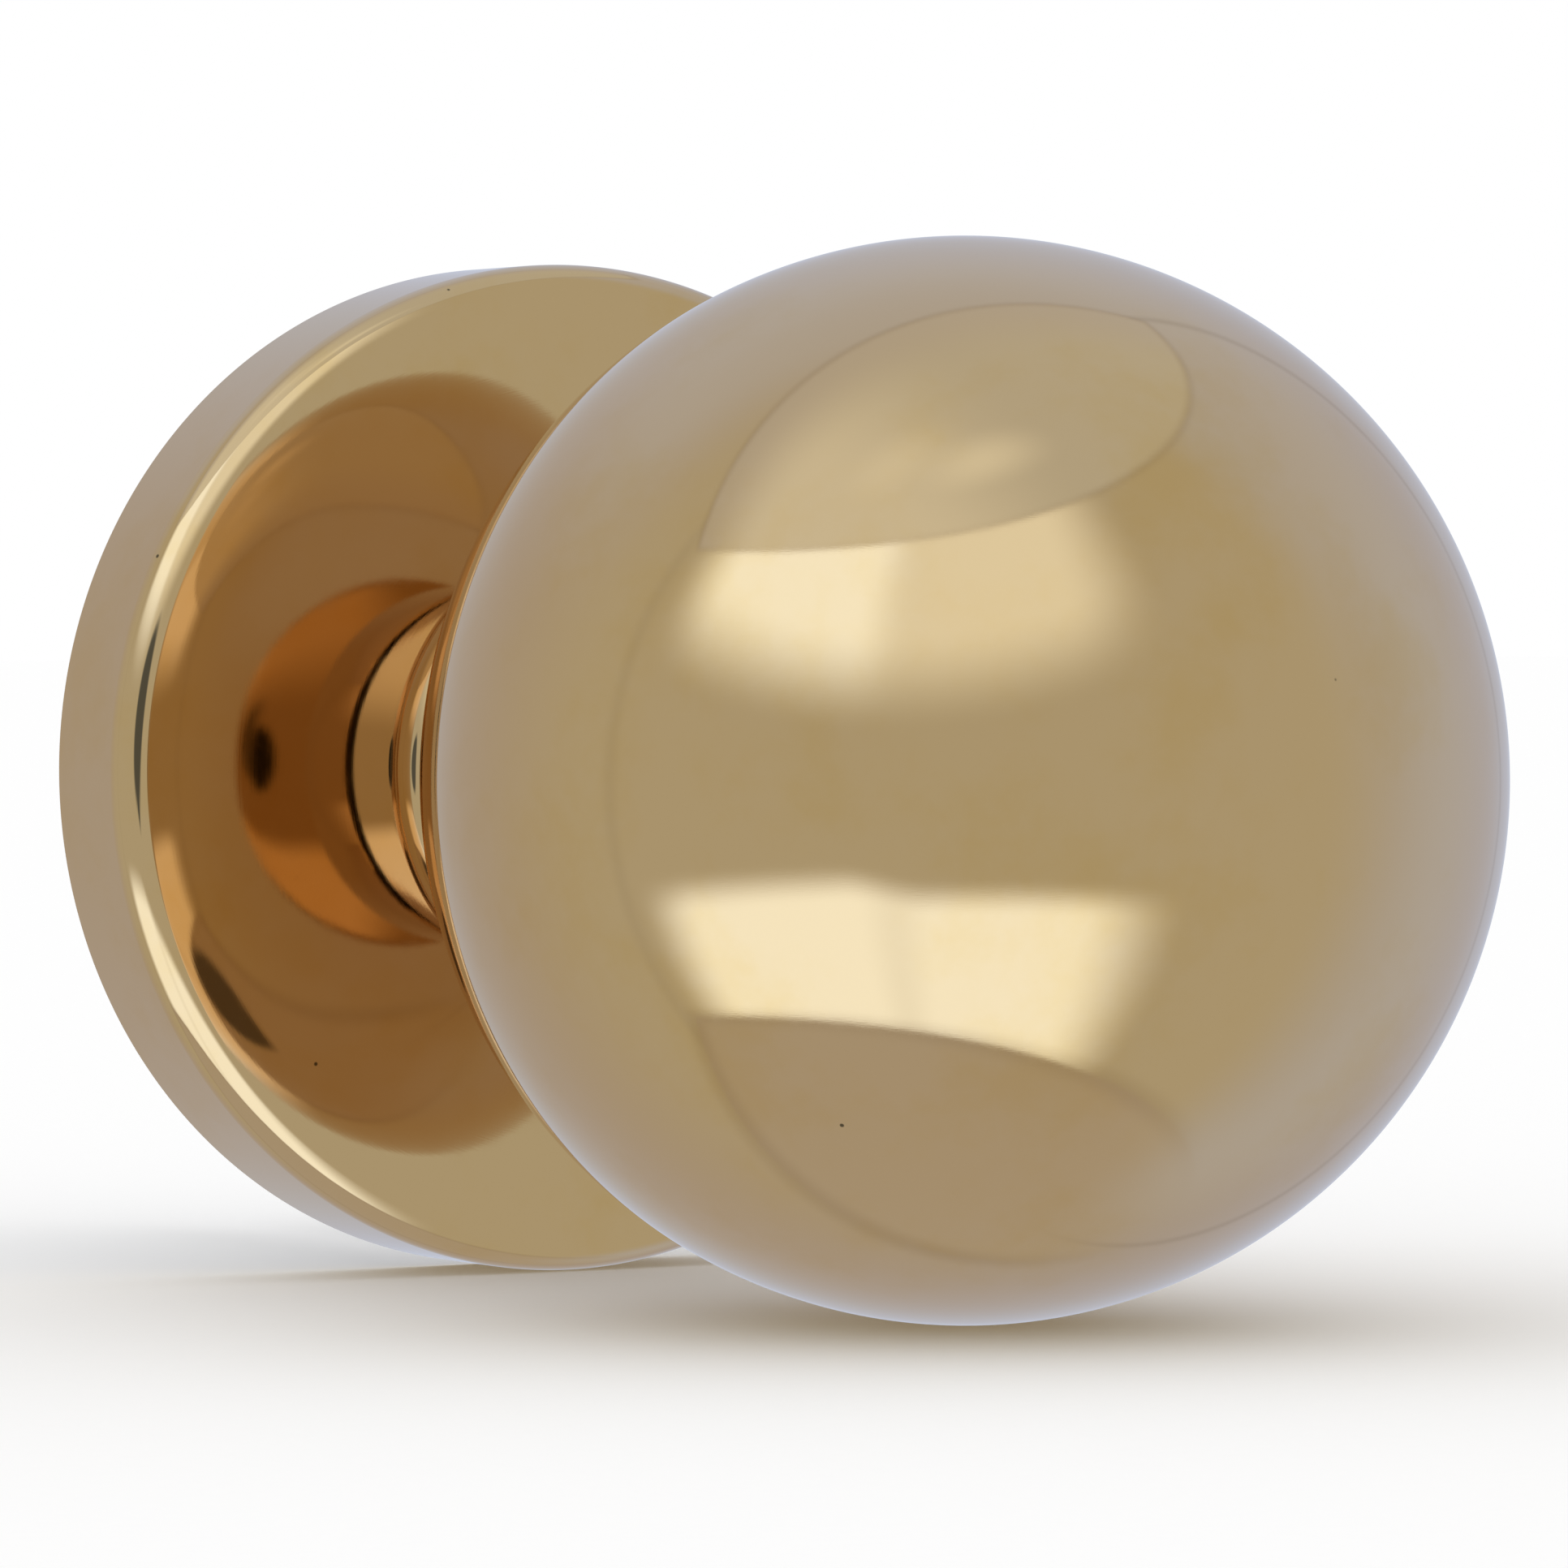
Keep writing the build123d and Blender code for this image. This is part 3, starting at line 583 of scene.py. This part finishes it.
def cover_runs():
    """Profile of the rose cover, from the door edge outwards, over the face and back inside."""
    rim_centre = (ROSE_R - RIM_R, ROSE_SIDE_Z)
    shoulder = shoulder_run(on_arc(rim_centre, RIM_R, RIM_SLOPE))
    crown_r = SHOULDER_IN_R / math.sin(CROWN_SLOPE)
    crown_centre = on_arc(shoulder[-1], -crown_r, CROWN_SLOPE)
    foot_slope = math.asin(COLLAR_FOOT_R / crown_r)
    foot_z = on_arc(crown_centre, crown_r, foot_slope)[1]
    hollow_centre = (COLLAR_FOOT_R, foot_z + COLLAR_HOLLOW_R)
    waist = 0.5 * math.pi + COLLAR_FLARE
    hollow_end = on_arc(hollow_centre, -COLLAR_HOLLOW_R, waist)
    lip_z = COLLAR_TOP_Z - COLLAR_EDGE
    lip_r = hollow_end[0] + math.tan(COLLAR_FLARE) * (lip_z - hollow_end[1])
    flare_normal = (math.cos(COLLAR_FLARE), -math.sin(COLLAR_FLARE))
    half = math.sqrt(0.5)
    bevel_r = COVER_IN_R - COVER_IN_BEVEL
    bevel_z = COVER_IN_Z - COVER_IN_BEVEL
    low = GRUB_Z - GRUB_WINDOW
    high = GRUB_Z + GRUB_WINDOW
    rows = 2 * WINDOW_COLUMNS
    return {
        "outer_foot": straight((ROSE_R, 0.0), (ROSE_R, low), (1.0, 0.0)),
        "outer_wall": straight((ROSE_R, low), (ROSE_R, high), (1.0, 0.0), rows),
        "outer_top": straight((ROSE_R, high), (ROSE_R, ROSE_SIDE_Z), (1.0, 0.0)),
        "rim": arc(rim_centre, RIM_R, 0.5 * math.pi, RIM_SLOPE, RIM_CUTS),
        "shoulder": shoulder,
        "crown": arc(crown_centre, crown_r, CROWN_SLOPE, foot_slope, CROWN_CUTS),
        "hollow": arc(hollow_centre, -COLLAR_HOLLOW_R, 0.0, waist, HOLLOW_CUTS),
        "flare": straight(hollow_end, (lip_r, lip_z), flare_normal, FLARE_CUTS),
        "lip": straight((lip_r, lip_z), (lip_r - COLLAR_EDGE, COLLAR_TOP_Z), (half, half)),
        "top": straight((lip_r - COLLAR_EDGE, COLLAR_TOP_Z), (COLLAR_BORE_R, COLLAR_TOP_Z), (0.0, 1.0)),
        "bore": straight((COLLAR_BORE_R, COLLAR_TOP_Z), (COLLAR_BORE_R, BUSH_SEAT_Z), (-1.0, 0.0)),
        "step": straight((COLLAR_BORE_R, BUSH_SEAT_Z), (BUSH_SEAT_R, BUSH_SEAT_Z), (0.0, -1.0)),
        "seat": straight((BUSH_SEAT_R, BUSH_SEAT_Z), (BUSH_SEAT_R, COVER_IN_Z), (-1.0, 0.0)),
        "roof": straight((BUSH_SEAT_R, COVER_IN_Z), (bevel_r, COVER_IN_Z), (0.0, -1.0), ROOF_CUTS),
        "bevel": straight((bevel_r, COVER_IN_Z), (COVER_IN_R, bevel_z), (-half, -half)),
        "inner_top": straight((COVER_IN_R, bevel_z), (COVER_IN_R, high), (-1.0, 0.0)),
        "inner_wall": straight((COVER_IN_R, high), (COVER_IN_R, low), (-1.0, 0.0), rows),
        "inner_foot": straight((COVER_IN_R, low), (COVER_IN_R, 0.0), (-1.0, 0.0)),
        "edge": straight((COVER_IN_R, 0.0), (ROSE_R, 0.0), (0.0, -1.0)),
    }


def window_border():
    """Grid places (step, row) round the border of the wall patch, in order."""
    last = 2 * WINDOW_COLUMNS
    border = [(i, 0) for i in range(last)]
    border += [(last, i) for i in range(last)]
    border += [(last - i, last) for i in range(last)]
    border += [(0, last - i) for i in range(last)]
    return border


def rose_cover():
    """The cover with its collar, pierced underneath for the grub screw."""
    runs = cover_runs()
    names = list(runs)
    walls = (names.index("outer_wall"), names.index("inner_wall"))

    def in_window(run, step):
        return run in walls and DOWN - WINDOW_COLUMNS <= step < DOWN + WINDOW_COLUMNS

    shape, rings = turn(list(runs.values()), COVER_STEPS, skip=in_window)
    mouths = []
    for wall_r, facing in ((ROSE_R, 1.0), (COVER_IN_R, -1.0)):
        border = []
        mouth = []
        aims = []
        for column, row in window_border():
            step = DOWN + column - WINDOW_COLUMNS
            z = GRUB_Z + GRUB_WINDOW * (row / WINDOW_COLUMNS - 1.0)
            angle = FULL_TURN * step / COVER_STEPS
            border.append((rings[ring_key(wall_r, z)][step], spin(facing, 0.0, angle)))
            aim = math.atan2(z - GRUB_Z, wall_r * (angle - DOWN_ANGLE))
            angle = DOWN_ANGLE + math.asin(GRUB_R * math.cos(aim) / wall_r)
            corner = shape.point(spin(wall_r, GRUB_Z + GRUB_R * math.sin(aim), angle))
            mouth.append((corner, spin(facing, 0.0, angle)))
            aims.append(aim)
        count = len(border)
        for i in range(count):
            j = (i + 1) % count
            quad = (border[i], border[j], mouth[j], mouth[i])
            shape.face([corner for corner, _ in quad], [normal for _, normal in quad])
        mouths.append(mouth)
    for i in range(count):
        j = (i + 1) % count
        corners = [mouths[0][i][0], mouths[0][j][0], mouths[1][j][0], mouths[1][i][0]]
        inward = [Vector((-math.cos(aims[k]), math.sin(aims[k]), 0.0)) for k in (i, j, j, i)]
        shape.face(corners, inward)
    piece = shape.build("rose_cover_turned", MIRROR_TURNED)
    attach(piece, "rose")
    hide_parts("rose_cover")


ball_halves()
rose_cover()

# ------------------------------------------------------------------------------------ threaded bolts
THREAD_STEPS = 40
THREAD_ROWS = 12             # rows to one turn of the thread
THREAD_FLANK = 1.35          # the flanks are this much steeper than a plain V's
THREAD_ROOT = 0.12           # and are cut off by this share of the depth, which leaves a flat root
SHARP_EDGE = math.radians(40.0)
SLOT_OVERRUN = 1.0           # the slot's cutter stands this far past the head


def thread_radius(z, angle):
    """Radius of the M4 thread, with its lead-in at the tip and its run-out under the shank."""
    phase = (z / BOLT_THREAD_PITCH - angle / FULL_TURN) % 1.0
    height = min(max(THREAD_FLANK * (1.0 - abs(2.0 * phase - 1.0)) - THREAD_ROOT, 0.0), 1.0)
    radius = BOLT_CORE_R + (BOLT_THREAD_R - BOLT_CORE_R) * height
    run_out = min(max((BOLT_SHANK_Z - z) / BOLT_THREAD_PITCH, 0.0), 1.0)
    radius = BOLT_SHANK_R + (radius - BOLT_SHANK_R) * run_out
    return min(radius, BOLT_TIP_R + z - BOLT_TIP_Z)


def fixing_bolt(word, side):
    """Cheese-head M4 bolt with a cut thread behind the door face."""
    centre = Vector((0.0, 0.0, side * BOLT_PITCH / 2))
    shape = Shape()
    rows = round((BOLT_SHANK_Z - BOLT_TIP_Z) / BOLT_THREAD_PITCH * THREAD_ROWS)
    levels = [BOLT_TIP_Z + (BOLT_SHANK_Z - BOLT_TIP_Z) * i / rows for i in range(rows + 1)]
    turns = [FULL_TURN * i / THREAD_STEPS for i in range(THREAD_STEPS)]
    rings = [[(thread_radius(z, angle), z) for angle in turns] for z in levels]
    head_side_z = BOLT_HEAD_Z - BOLT_HEAD_CHAMFER
    for r, z in ((BOLT_SHANK_R, BOLT_SEAT_Z), (BOLT_HEAD_R, BOLT_SEAT_Z), (BOLT_HEAD_R, head_side_z),
                 (BOLT_HEAD_R - BOLT_HEAD_CHAMFER, BOLT_HEAD_Z)):
        rings.append([(r, z)] * THREAD_STEPS)
    grid = []
    for ring in rings:
        grid.append([shape.point(centre + spin(r, z, angle)) for (r, z), angle in zip(ring, turns)])
    for low, high in zip(grid[:-1], grid[1:]):
        for i in range(THREAD_STEPS):
            j = (i + 1) % THREAD_STEPS
            shape.faces.append([low[i], low[j], high[j], high[i]])
    shape.faces.append(grid[0][::-1])
    shape.faces.append(grid[-1])
    piece = shape.build(f"fixing_bolt_{word}_threaded", FINISHES["bright_zinc_steel"], exact=False)
    cut_slot(piece, centre)
    piece.data.set_sharp_from_angle(angle=SHARP_EDGE)
    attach(piece, "rose")
    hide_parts(f"fixing_bolt_{word}")


def cut_slot(piece, centre):
    """Screwdriver slot across the head."""
    half_x = BOLT_HEAD_R + SLOT_OVERRUN
    low = Vector((-half_x, -BOLT_HEAD_Z - SLOT_OVERRUN, -BOLT_SLOT_HALF)) + centre
    high = Vector((half_x, -BOLT_SLOT_Z, BOLT_SLOT_HALF)) + centre
    corners = [(x, y, z) for x in (low.x, high.x) for y in (low.y, high.y) for z in (low.z, high.z)]
    sides = [(0, 1, 3, 2), (4, 6, 7, 5), (0, 4, 5, 1), (2, 3, 7, 6), (0, 2, 6, 4), (1, 5, 7, 3)]
    cutter_mesh = bpy.data.meshes.new("slot_cutter")
    cutter_mesh.from_pydata([Vector(c) * MM for c in corners], [], sides)
    cutter = bpy.data.objects.new("slot_cutter", cutter_mesh)
    bpy.context.scene.collection.objects.link(cutter)
    cut = piece.modifiers.new("slot", "BOOLEAN")
    cut.operation = "DIFFERENCE"
    cut.solver = "EXACT"
    cut.object = cutter
    result = piece.evaluated_get(bpy.context.evaluated_depsgraph_get())
    slotted = bpy.data.meshes.new_from_object(result)
    piece.modifiers.clear()
    piece.data = slotted
    bpy.data.objects.remove(cutter)


fixing_bolt("top", 1)
fixing_bolt("bottom", -1)

# ------------------------------------------------------------------------------------------ light tent
# What the brass mirrors: a bright cloth tent with a curved front wall, a back wall, and a flat panel for
# its ceiling and its floor. Two lamps shine through the front wall, above and below the camera. Colours
# are radiances. Angles are in degrees, azimuth from the camera towards its right. A fade is a pair: the
# value where it starts and the value where it is complete. Fades of the walls go by the direction's
# parts: right of the camera, up, and toward the camera.
FRONT_WALL = (0.651, 0.760, 0.781)
BACK_LEFT = (0.585, 0.655, 0.760)
BACK_RIGHT = (0.585, 0.690, 0.900)
BACK_FAR = (0.575, 0.630, 0.760)
BACK_SKY = (0.655, 0.820, 1.120)
LEFT_TO_RIGHT = (-0.4, 0.4)
FRONT_TO_BACK = (0.15, -0.75)
FAR_FADE = (-0.90, -1.0)
SKY_FADE_UP = (0.3, 0.75)
SKY_FADE_BACK = (0.0, -0.4)
RIGHT_GLOW = (0.660, 0.855, 1.240)
RIGHT_GLOW_AT = 118.0
RIGHT_GLOW_HALF = 40.0
RIGHT_GLOW_SHARE = 0.9
SEAMS = ((-79.0, 3.0, 0.10), (155.0, 1.6, 0.22))       # azimuth, half width and strength of each
SEAM_SHADE = (0.25, 0.26, 0.28)

LAMP = (1.51, 2.00, 2.63)
LAMP_EDGE = (1.28, 1.60, 1.85)
LAMP_FADE_LEFT = (-77.0, -60.0)
LAMP_FADE_RIGHT = (52.0, 24.0)
LOBE_FADE = (-27.0, -7.0)    # each lamp has a left lobe and a right one, with a darker valley between
LOBE_LOSS = 0.14             # the upper lamp's right lobe is this much weaker
VALLEY_AT = -15.5
VALLEY_HALF = 9.0
VALLEY_LOSS_UPPER = 0.12
VALLEY_LOSS_LOWER = 0.14
UPPER_FADE = (10.5, 32.0)
UPPER_BOW = 0.003            # the upper lamp's edge bows up by this for each square degree of azimuth
UPPER_BOW_AT = -20.0         # away from here
LOWER_FADE = (-15.5, -23.5)
LOWER_LOBE_DROP = 3.5        # the lower lamp's right lobe stands this much lower
BELOW_CAMERA = (5.0, -5.0)

# On the panels a place is given along them and forward, in multiples of their height over the knob.
CEILING = (0.717, 0.885, 1.040)
CEILING_BRIGHT = (0.943, 1.169, 1.364)
CEILING_FAR = (0.675, 0.820, 1.030)
BRIGHT_FADE = (0.12, -0.55)
CEILING_FAR_FADE = (-0.08, -0.43)
TENT_FLOOR = (0.610, 0.695, 0.782)
FLOOR_FADE_RIGHT = (0.80, 0.25)
PANEL_TURN = math.radians(35.56)
PANEL_CENTRE = (-0.15, -0.45)
PANEL_HALF = (0.95, 1.09)
PANEL_FAR_EDGE = -0.43
PANEL_SOFT = 0.012
PANEL_LEAST_UP = 0.2         # keeps level directions from reaching endlessly far
HEM_SHADE = (0.30, 0.28, 0.25)
HEM_SHARE = 0.22
HEM_HALF = 0.028
FLOOR_HEM_HALF = 0.09
HEM_LEAST_UP = 0.4
LAMP_SPOTS = ((-0.35, 0.15, 0.24), (-0.15, 0.31, 0.46))  # along, forward and strength of each
SPOT_HALF = (0.24, 0.13)
SPOT_FADE = (1.2, 0.0)       # in multiples of the spot's half size

DARK_THINGS = (0.05, 0.06, 0.07)
DARK_SHARE = 0.80
TWICE_DEPTH = 2.5            # a ray that was mirrored once has depth 2


def tent_walls(t, right, up, toward, azimuth):
    """Colour of the front and back wall, with the seams of the cloth."""
    back = t.mix(t.ease(right, *LEFT_TO_RIGHT), BACK_LEFT, BACK_RIGHT)
    wall = t.mix(t.ease(toward, *FRONT_TO_BACK), FRONT_WALL, back)
    wall = t.mix(t.ease(toward, *FAR_FADE), wall, BACK_FAR)
    glow = t.line(t.sub(azimuth, RIGHT_GLOW_AT), RIGHT_GLOW_HALF)
    wall = t.mix(t.mul(glow, RIGHT_GLOW_SHARE), wall, RIGHT_GLOW)
    sky = t.mul(t.ease(up, *SKY_FADE_UP), t.ease(toward, *SKY_FADE_BACK))
    wall = t.mix(sky, wall, BACK_SKY)
    for seam, half, strength in SEAMS:
        fold = t.mul(t.line(t.sub(azimuth, seam), half), strength)
        wall = t.mix(fold, wall, SEAM_SHADE)
    return wall


def add_lamps(t, wall, azimuth, elevation):
    """The wall with the two lamps behind it."""
    across = t.mul(t.ease(azimuth, *LAMP_FADE_LEFT), t.ease(azimuth, *LAMP_FADE_RIGHT))
    right_lobe = t.ease(azimuth, *LOBE_FADE)
    valley = t.line(t.sub(azimuth, VALLEY_AT), VALLEY_HALF)
    bow = t.mul(t.square(t.sub(azimuth, UPPER_BOW_AT)), UPPER_BOW)
    rise = t.ease(t.sub(elevation, bow), *UPPER_FADE)
    upper = t.mul(t.mul(across, rise), t.sub(1.0, t.mul(right_lobe, LOBE_LOSS)))
    upper = t.mul(upper, t.sub(1.0, t.mul(valley, VALLEY_LOSS_UPPER)))
    fall = t.ease(t.add(elevation, t.mul(right_lobe, LOWER_LOBE_DROP)), *LOWER_FADE)
    lower = t.mul(t.mul(across, fall), t.sub(1.0, t.mul(valley, VALLEY_LOSS_LOWER)))
    right_lamp = t.mix(t.ease(elevation, *BELOW_CAMERA), LAMP_EDGE, LAMP)
    lamp = t.mix(right_lobe, LAMP, right_lamp)
    return t.mix(t.math("MAXIMUM", upper, lower), wall, lamp)


def ceiling_colour(t, along, forward):
    """The ceiling, brighter to the left, with a spot of light from each lamp."""
    ceiling = t.mix(t.ease(along, *BRIGHT_FADE), CEILING, CEILING_BRIGHT)
    ceiling = t.mix(t.ease(forward, *CEILING_FAR_FADE), ceiling, CEILING_FAR)
    for spot_along, spot_forward, strength in LAMP_SPOTS:
        wide = t.math("DIVIDE", t.sub(along, spot_along), SPOT_HALF[0])
        deep = t.math("DIVIDE", t.sub(forward, spot_forward), SPOT_HALF[1])
        away = t.math("SQRT", t.add(t.square(wide), t.square(deep)))
        ceiling = t.mix(t.mul(t.ease(away, *SPOT_FADE), strength), ceiling, LAMP_EDGE)
    return ceiling


def add_panels(t, wall, right, up, toward):
    """The walls with the ceiling and floor panels before them, each an oval cut off at its far edge."""
    height = t.math("MAXIMUM", t.math("ABSOLUTE", up), PANEL_LEAST_UP)
    out = t.math("DIVIDE", right, height)
    near = t.math("DIVIDE", toward, height)
    along = t.sub(t.mul(out, math.cos(PANEL_TURN)), t.mul(near, math.sin(PANEL_TURN)))
    forward = t.add(t.mul(out, math.sin(PANEL_TURN)), t.mul(near, math.cos(PANEL_TURN)))
    wide = t.math("DIVIDE", t.sub(along, PANEL_CENTRE[0]), PANEL_HALF[0])
    deep = t.math("DIVIDE", t.sub(forward, PANEL_CENTRE[1]), PANEL_HALF[1])
    in_oval = t.mul(t.sub(1.0, t.add(t.square(wide), t.square(deep))), 0.5)
    inside = t.math("MINIMUM", in_oval, t.sub(forward, PANEL_FAR_EDGE))
    above = t.math("GREATER_THAN", up, 0.0)
    panel = t.mix(above, TENT_FLOOR, ceiling_colour(t, along, forward))
    whole = t.math("MAXIMUM", above, t.ease(along, *FLOOR_FADE_RIGHT))
    tent = t.mix(t.mul(t.ease(inside, -PANEL_SOFT, PANEL_SOFT), whole), wall, panel)
    floor_hem = t.mul(t.line(inside, FLOOR_HEM_HALF), t.sub(1.0, above))
    hem = t.mul(t.math("MAXIMUM", t.line(inside, HEM_HALF), floor_hem), whole)
    hem = t.mul(hem, t.math("GREATER_THAN", t.math("ABSOLUTE", up), HEM_LEAST_UP))
    return t.mix(t.mul(hem, HEM_SHARE), tent, HEM_SHADE)


def tent_colour(t, direction):
    """Radiance of the tent in a direction, with the dark things where it is mirrored twice."""
    right = t.dot(direction, CAM_SIDE)
    up = t.dot(direction, UP)
    toward = t.dot(direction, CAM_TOWARD)
    azimuth, elevation = t.angles(direction)
    walls = tent_walls(t, right, up, toward, azimuth)
    walls = add_lamps(t, walls, azimuth, elevation)
    tent = add_panels(t, walls, right, up, toward)
    depth = t.node("ShaderNodeLightPath").outputs["Ray Depth"]
    dark = t.math("MAXIMUM", t.oval(azimuth, elevation, *LENS), t.oval(azimuth, elevation, *STAND))
    dark = t.mul(dark, t.math("GREATER_THAN", depth, TWICE_DEPTH))
    return t.mix(t.mul(dark, DARK_SHARE), tent, DARK_THINGS)


def add_world():
    """White backdrop for the camera and for matt surfaces; the tent for mirrored rays."""
    world = bpy.data.worlds.new("light_tent")
    bpy.context.scene.world = world
    t = Tree(world)
    direction = t.node("ShaderNodeTexCoord").outputs["Generated"]
    tent = t.node("ShaderNodeBackground", {"Color": tent_colour(t, direction), "Strength": 1.0})
    white = t.node("ShaderNodeBackground", {"Color": (1.0, 1.0, 1.0), "Strength": 1.0})
    mirrored = t.node("ShaderNodeLightPath").outputs["Is Glossy Ray"]
    pick = t.node("ShaderNodeMixShader", {0: mirrored, 1: white.outputs[0], 2: tent.outputs[0]})
    t.put(t.node("ShaderNodeOutputWorld").inputs["Surface"], pick.outputs[0])


add_world()

# ------------------------------------------------------------------------------------------- the floor
FLOOR_HALF = 6.0


def add_floor():
    """Plain white paper that the knob lies on; the brass mirrors the tent instead of it."""
    corners = [(-1, -1), (1, -1), (1, 1), (-1, 1)]
    mesh = bpy.data.meshes.new("floor")
    mesh.from_pydata([(x * FLOOR_HALF, y * FLOOR_HALF, FLOOR_Z) for x, y in corners], [], [(0, 1, 2, 3)])
    floor = bpy.data.objects.new("floor", mesh)
    bpy.context.scene.collection.objects.link(floor)
    floor.visible_glossy = False
    paper = bpy.data.materials.new("paper")
    t = Tree(paper)
    place = t.millimetres()
    tooth = t.noise(place, 0.8, 4.0, 0.6)
    sheet = t.node("ShaderNodeBsdfDiffuse", {"Color": t.mix(tooth, (0.985,) * 3, (1.0,) * 3)})
    t.put(t.node("ShaderNodeOutputMaterial").inputs["Surface"], sheet.outputs[0])
    mesh.materials.append(paper)


add_floor()
